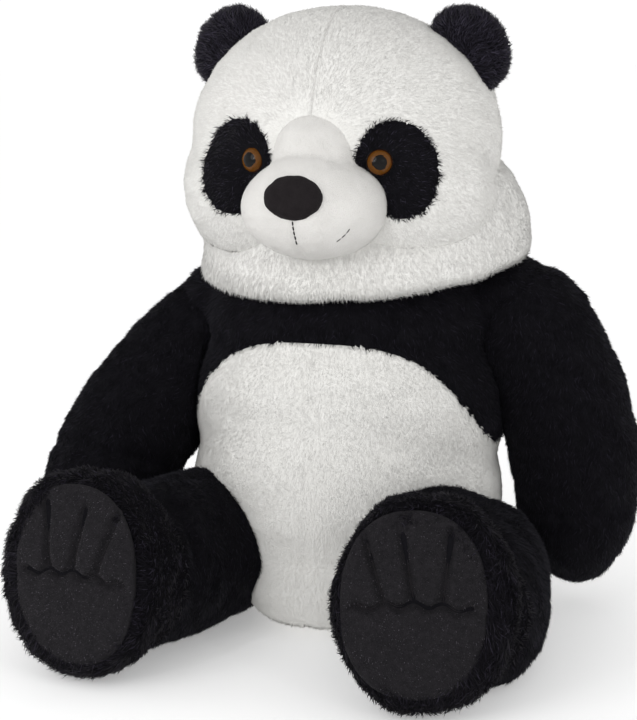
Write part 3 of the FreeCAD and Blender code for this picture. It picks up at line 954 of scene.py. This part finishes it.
def swing(co, name, side):
    """Turn an arm drawn hanging down to the swing that it is stored at."""
    lean = math.radians(ARM_SWING_LEAN)
    axis = Vector((-math.cos(lean), -math.sin(lean) * side, 0))
    turn = np.array(Matrix.Rotation(math.radians(ARM_SWING[name]), 3, axis))
    pivot = joint_point("arm_%s_raise" % name)
    return (co - pivot) @ turn.T + pivot


def press_on_leg(co, side):
    """Push an arm's cloth out of the leg that it rests against."""
    start = np.array(LEG_LINE[0][:3]) * (side, 1, 1)
    run = np.array(LEG_LINE[-1][:3]) * (side, 1, 1) - start
    along = np.clip((co - start) @ run / (run @ run), 0, 1)
    off = co - start - along[:, None] * run
    far = np.linalg.norm(off, axis=1)
    inside = far < LEG_RADIUS
    co[inside] += off[inside] * (LEG_RADIUS / far[inside] - 1)[:, None] * 0.8
    return co


def make_arm(name, side):
    """Stuffed arm that hangs from the shoulder, flat where it lies against the torso."""
    shoulder = local(joint_point("arm_%s_raise" % name)[None])[0]
    points = []
    for x, y, z, r in ARM_LINE:
        points.append((*(shoulder + (np.array([x, y, z]) - ARM_SHOULDER) * (side, 1, 1)), r))
    arm = blob("arm_%s" % name, chain(points), voxel=5.0, rounds=25)
    co = local(get_co(arm))
    below = smooth_step(co[:, 2] - shoulder[2], -20, -66)
    inside = ARM_INSIDE[name] + 5.0 * waves(co * MM, 0.15, 81)
    pressed = np.maximum(co[:, 0] * side, inside) * side
    co[:, 0] = co[:, 0] * (1 - below) + pressed * below
    set_co(arm, at(co))
    elbow = np.abs(co[:, 2] - shoulder[2] + 205 - 0.35 * (co[:, 1] - 36))
    amount = groove(elbow, 6.0, 10.0) * smooth_step(-co[:, 1], -40, 30)
    amount += 2.4 * waves(co * MM, 0.09, 83 + int(side)) + 0.9 * waves(co * MM, 0.035, 84)
    push_along_normals(arm, amount)
    co = press_on_leg(local(swing(get_co(arm), name, side)), side)
    set_co(arm, at(rest_on_floor(co)))
    body = "arm_%s" % name
    finish_piece(arm, body, CLOTH["black"],
                 cover_and_filling(body))
    pivot = joint_point("arm_%s_raise" % name)
    along = unit(swing(pivot - UP[None], name, side)[0] - pivot)
    pile("arm_%s_pile" % name, arm, body, "black_plush", PILE["black"], PILE_LENGTH["black"],
         lambda co: np.tile(along, (len(co), 1)), seed=85 + int(side), **FEEL["black"])


# -------- legs and feet

HIP = (140, -110, 93, 92)
LEG_RADIUS = 95.0
LEG_LINE = [HIP, (156, -185, 96, 95), (172, -260, 99, 94), (186, -318, 106, 92)]
LEG_OUTER = [(194, -130, 88, 86), (206, -190, 90, 88), (212, -280, 94, 86)]
LEG_SAG = {"left": [(222, -140, 54, 62), (228, -200, 60, 66), (232, -280, 60, 64)], "right": []}
FOOT = {"left": np.array([188.0, -366.0, 121.0]), "right": np.array([-202.0, -366.0, 121.0])}
FOOT_YAW, FOOT_LEAN = 10.0, 5.0
FOOT_RADII = (99.0, 78.0, 118.0)
FOOT_RIM = {"half_width": 73.5, "half_height": 91.0, "radius": 27.0, "front": 27.0, "balls": 30}
SOLE_FRONT, SOLE_FLATNESS, ANKLE_BEHIND = 54.0, 0.85, 40.0
LEG_PILE_FROM, PAD_BARE_RIM = 7.0, 0.10
PAD = {"half_width": 78.0, "half_height": 102.0, "inward": 10.0, "raised": 5.0, "crease": 3.0,
       "power": 2.3}
TOE_SEAMS = [(-30.0, -0.33), (1.0, -0.18), (31.0, 0.10)]
TOE_SEAM_TOP = 78.0


def foot_axes(side):
    """Width, outward and upward directions of a foot."""
    yaw, lean = math.radians(FOOT_YAW) * side, math.radians(FOOT_LEAN)
    out = np.array([math.sin(yaw) * math.cos(lean), -math.cos(yaw) * math.cos(lean), math.sin(lean)])
    width = unit(np.cross(UP, out))
    return width, out, np.cross(out, width)


def foot_middle(side):
    return FOOT["left" if side > 0 else "right"]


def foot_local(co, side):
    width, out, up = foot_axes(side)
    d = co - foot_middle(side)
    return d @ width, d @ out, d @ up


def leg_form(name, side):
    """Leg and foot in one skin, flat at the sole and where it lies on the floor."""
    middle = foot_middle(side)
    balls = []
    for line in (LEG_LINE, LEG_OUTER, LEG_SAG[name]):
        if line:
            balls += chain([(x * side, y, z, r) for x, y, z, r in line])
    balls.append((middle, FOOT_RADII, (-FOOT_LEAN, 0, FOOT_YAW * side)))
    width, front, high = foot_axes(side)
    for angle in np.linspace(0, 2 * math.pi, FOOT_RIM["balls"], endpoint=False):
        spot = middle + front * FOOT_RIM["front"]
        spot = spot + width * FOOT_RIM["half_width"] * math.cos(angle)
        spot = spot + high * FOOT_RIM["half_height"] * math.sin(angle)
        balls.append((spot, (FOOT_RIM["radius"],) * 3))
    form = blob("leg_form", balls, voxel=5.0, rounds=25)
    co = local(get_co(form))
    amount = 2.2 * waves(co * MM, 0.10, 91 + int(side)) + 0.9 * waves(co * MM, 0.035, 92)
    across, out, up = foot_local(co, side)
    crease = np.abs(out + 62.0 + 0.12 * up)
    amount += groove(crease, 6.0, 16.0) * smooth_step(up, -60, 40)
    notch = np.hypot(across, (up - 118.0) * 0.5)
    amount += groove(notch, 6.0, 9.0)
    push_along_normals(form, amount)
    co = local(get_co(form))
    _, out, _ = foot_local(co, side)
    flat = np.maximum(out - SOLE_FRONT, 0)
    co -= foot_axes(side)[1] * (flat * SOLE_FLATNESS)[:, None]
    set_co(form, at(rest_on_floor(co)))
    return form


def make_leg(name, side):
    """Leg and foot cut from one skin at the ankle seam, with their pile and the sole."""
    form = leg_form(name, side)
    body = "leg_%s" % name
    ankle = lambda co: foot_local(co, side)[1] + ANKLE_BEHIND
    leg = finish_piece(panel("leg_%s" % name, form, lambda co: -ankle(co)), body,
                       CLOTH["black"], cover_and_filling(body))
    foot = finish_piece(panel("foot_%s" % name, form, ankle), body,
                        CLOTH["black"], ["foot_%s_cover" % name])
    bpy.data.objects.remove(form)
    spine = [np.array(p[:3]) * (side, 1, 1) for p in LEG_LINE] + [foot_middle(side)]
    axis = unit((spine[-1] - spine[0]) * (1, 1, 0))
    outside = spine_test(spine)
    lay = lambda co: np.tile(unit(axis * 0.6 - UP), (len(co), 1))
    off_floor = lambda co: co[:, 2] > LEG_PILE_FROM
    pile("leg_%s_pile" % name, leg, body, "black_plush", PILE["black"], PILE_LENGTH["black"],
         lay, seed=95 + int(side), outside=outside, mask=off_floor, **FEEL["black"])
    make_foot_pile(name, side, foot, outside)
    make_sole(name, side)


def make_foot_pile(name, side, foot, outside):
    """Long pile that stands forward round the sole pad."""
    def rim_length(co):
        return 9.0 + 5.0 * smooth_step(foot_local(co, side)[1], 0, 45)

    def beyond_pad(co):
        across, _, up = foot_local(co, side)
        return (pad_value(*on_pad(across, up, side)) < PAD_BARE_RIM) & (co[:, 2] > LEG_PILE_FROM)

    def rim_lay(co):
        across, _, up = foot_local(co, side)
        width, forward, high = foot_axes(side)
        spread = width[None] * across[:, None] + high[None] * up[:, None]
        return unit(unit(spread) * 0.35 + forward * 0.9 - UP * 0.15)
    pile("foot_%s_pile" % name, foot, "leg_%s" % name, "black_plush", PILE["rim"], rim_length, rim_lay,
         spacing=2.0, rise=0.5, curl=0.3, seed=99 + int(side), outside=outside, mask=beyond_pad,
         softness=0.55)


def spine_test(points):
    """Outward test for cloth round a line of points."""
    spine = np.array([at(p) for p in points])

    def outside(place):
        steps = np.linspace(0, 1, 12)[:, None, None]
        line = (spine[:-1][None] * (1 - steps) + spine[1:][None] * steps).reshape(-1, 3)
        best, near = np.full(len(place), 9.0), np.zeros_like(place)
        for p in line:
            far = np.linalg.norm(place - p, axis=1)
            closer = far < best
            best[closer], near[closer] = far[closer], p
        return place - near
    return outside


def on_pad(across, up, side):
    """Foot coordinates turned into the sole pad's own: outward from its middle, and up."""
    return across * side + PAD["inward"], up - PAD["raised"]


def pad_value(u, v):
    """Above zero inside the sole pad's outline, 1 at its middle."""
    r = np.abs(u / PAD["half_width"]) ** PAD["power"] + np.abs(v / PAD["half_height"]) ** PAD["power"]
    return 1 - r ** (1 / PAD["power"])


def toe_line(seam, v):
    start, slope = seam
    return start + slope * (v - PAD["crease"])


def toe_crease(u):
    """Height of the seam under the toes: scalloped once for each toe."""
    return PAD["crease"] - 3.0 * np.cos((u - 16) / 31.0 * 2 * math.pi) - 0.0016 * u ** 2


def pad_height(u, v):
    """How far the sole pad stands out: heel and four toes, with sewn seams between."""
    inside = np.clip(pad_value(u, v), 0, 1)
    height = 8.0 * np.sqrt(np.clip(inside * 2.2, 0, 1))
    crease = v - toe_crease(u)
    seam = np.exp(-(crease / 5.0) ** 2) * smooth_step(np.abs(u), 74, 60)
    height += 4.0 * np.exp(-((crease - 24) / 22) ** 2) + 3.0 * np.exp(-((crease + 30) / 28) ** 2)
    for line in TOE_SEAMS:
        reach = smooth_step(v, PAD["crease"] - 4, PAD["crease"] + 6)
        reach = reach * smooth_step(v, TOE_SEAM_TOP + 12, TOE_SEAM_TOP - 6)
        seam = np.maximum(seam, np.exp(-((u - toe_line(line, v)) / 5.0) ** 2) * reach)
    return height - 8.0 * seam


def sole_point(side, u, v, height):
    """Frame positions on a sole, from the pad's own coordinates in millimetres."""
    width, out, high = foot_axes(side)
    across, up = (u - PAD["inward"]) * side, v + PAD["raised"]
    return at(foot_middle(side) + np.outer(across, width) + np.outer(up, high)
              + np.outer(SOLE_FRONT + height, out))


def make_sole(name, side):
    """Velour sole pad on a polar grid, with its puffed toes, and the thread in its seams."""
    rings, spokes = 70, 220
    t = np.linspace(0, 1, rings + 1)[1:]
    angle = np.linspace(0, 2 * math.pi, spokes, endpoint=False)
    c, s = np.cos(angle), np.sin(angle)
    reach = (np.abs(c) ** PAD["power"] + np.abs(s) ** PAD["power"]) ** (-1 / PAD["power"])
    u = np.append(np.outer(t, PAD["half_width"] * reach * c).ravel(), 0.0)
    v = np.append(np.outer(t, PAD["half_height"] * reach * s).ravel(), 0.0)
    top = sole_point(side, u, v, pad_height(u, v))
    bottom = sole_point(side, u, v, np.full(len(u), -3.0))
    count = len(u)
    faces = []
    for layer, order in ((0, 1), (count, -1)):
        for i in range(rings - 1):
            start = layer + i * spokes
            faces += [quad[::order] for quad in band(start, start + spokes, spokes)]
        middle = layer + count - 1
        faces += [(middle, layer + (k + 1) % spokes, layer + k)[::order] for k in range(spokes)]
    edge = (rings - 1) * spokes
    faces += band(edge, count + edge, spokes)
    sole = shade_smooth(link_faces("sole_%s" % name, np.concatenate([top, bottom]), faces))
    bm = bmesh.new()
    bm.from_mesh(sole.data)
    bmesh.ops.recalc_face_normals(bm, faces=bm.faces)
    bm.to_mesh(sole.data)
    bm.free()
    body = "leg_%s" % name
    finish_piece(sole, body, CLOTH["sole"], ["sole_%s_pad" % name])
    out = foot_axes(side)[1]
    pile("sole_%s_pile" % name, sole, body, "sole_velour", PILE["velour"], 2.4, downward,
         spacing=1.5, width=1.1, rise=0.8, seed=110 + int(side), softness=0.6,
         outside=lambda place: np.tile(out, (len(place), 1)),
         mask=lambda co: pad_value(*on_pad(*foot_local(co, side)[::2], side)) > 0.01)
    make_toe_thread(name, side)


def make_toe_thread(name, side):
    """Dark thread lying in the toe seams and the crease under them."""
    lines = []
    for seam in TOE_SEAMS:
        v = np.linspace(PAD["crease"] + 2, TOE_SEAM_TOP, 24)
        lines.append((toe_line(seam, v), v))
    u = np.linspace(-62, 62, 50)
    lines.append((u, toe_crease(u)))
    tubes = []
    for u, v in lines:
        spots = sole_point(side, u, v, pad_height(u, v) + 0.5)
        tubes.append(tube_along("toe", spots, np.full(len(u), 0.55 * MM)))
    stitched = join("toe_seams_%s" % name, tubes)
    finish_piece(stitched, "leg_%s" % name, CLOTH["thread"], ["toe_%s_stitching" % name])


# -------- inner pieces and the stage

def dress_inner_nodes():
    """Materials for the CAD pieces that stay as they are, inside the toy."""
    looks = {"bead_bag": CLOTH["label"], "neck_filling": CLOTH["stuffing"],
             "eye_washer_left": WASHER, "eye_washer_right": WASHER}
    for node, material in looks.items():
        obj = frame["nodes"][node]
        obj.data.materials.clear()
        obj.data.materials.append(material)


OVERHEAD_GREY = (0.62, 0.62, 0.62)
WORLD_STRENGTH = 1.06
FLOOR_REACH = 40.0


def studio_world():
    """White surroundings, a little darker overhead."""
    world = bpy.data.worlds.new("studio")
    world.use_nodes = True
    nodes, links = world.node_tree.nodes, world.node_tree.links
    where = nodes.new("ShaderNodeTexCoord")
    split = nodes.new("ShaderNodeSeparateXYZ")
    ramp = colour_ramp(nodes, (1, 1, 1), OVERHEAD_GREY, ends=(0.15, 0.9))
    links.new(where.outputs["Generated"], split.inputs[0])
    links.new(split.outputs["Z"], ramp.inputs["Fac"])
    links.new(ramp.outputs["Color"], nodes["Background"].inputs["Color"])
    nodes["Background"].inputs["Strength"].default_value = WORLD_STRENGTH
    bpy.context.scene.world = world


def make_stage():
    """Pale floor, soft studio light and the camera."""
    corners = [(x * FLOOR_REACH, y * FLOOR_REACH, 0) for x, y in ((-1, -1), (1, -1), (1, 1), (-1, 1))]
    floor = link_faces("floor", corners, [(0, 1, 2, 3)])
    material, _, _, shader = node_material("pale_floor")
    shader.inputs["Base Color"].default_value = (0.9, 0.9, 0.9, 1)
    shader.inputs["Roughness"].default_value = 0.95
    shader.inputs["Specular IOR Level"].default_value = 0.1
    shader.inputs["Emission Color"].default_value = (1, 1, 1, 1)
    shader.inputs["Emission Strength"].default_value = 0.3
    floor.data.materials.append(material)
    studio_world()
    height = CAD_BOX[1][2] - CAD_BOX[0][2]
    middle = Vector(MIDDLE) + Vector((0, 0, height / 2))
    for name, azimuth, elevation, away, size, power in LIGHTS:
        lamp = bpy.data.lights.new(name, "AREA")
        lamp.shape = "DISK"
        lamp.size = size
        lamp.energy = power
        obj = link(name, lamp)
        obj.location = middle + Vector(view_direction(azimuth, elevation)) * away
        obj.rotation_euler = (middle - obj.location).to_track_quat("-Z", "Y").to_euler()


def view_direction(azimuth, elevation):
    """Unit vector from the toy towards a viewer; azimuth 0 looks along +Y."""
    a, e = math.radians(azimuth), math.radians(elevation)
    return (math.sin(a) * math.cos(e), -math.cos(a) * math.cos(e), math.sin(e))


LIGHTS = [
    ("key", -20, 24, 2.8, 1.8, 16),
    ("left_box", -14, 17, 2.6, 0.13, 2.2),
    ("right_box", 42, 17, 2.6, 0.15, 3.0),
]
CAMERA = {"azimuth": 16.6, "elevation": 10.09, "away": 2.2209, "lens": 88.9,
          "aim": (-13.0, -80.0, 339.3), "shift": (-0.0076, -0.016)}


def make_camera():
    data = bpy.data.cameras.new("camera")
    data.lens = CAMERA["lens"]
    data.shift_x, data.shift_y = CAMERA["shift"]
    camera = link("camera", data)
    aim = Vector(at(CAMERA["aim"]))
    camera.location = aim + Vector(view_direction(CAMERA["azimuth"], CAMERA["elevation"])) * CAMERA["away"]
    camera.rotation_euler = (aim - camera.location).to_track_quat("-Z", "Y").to_euler()
    bpy.context.scene.camera = camera


make_torso()
make_neck()
make_head()
make_muzzle()
for side_name, sign in SIDES.items():
    make_eye(side_name, sign)
    make_ear(side_name, sign)
    make_arm(side_name, sign)
    make_leg(side_name, sign)
make_label()
dress_inner_nodes()
make_stage()
make_camera()
bpy.context.scene.view_settings.view_transform = "Standard"
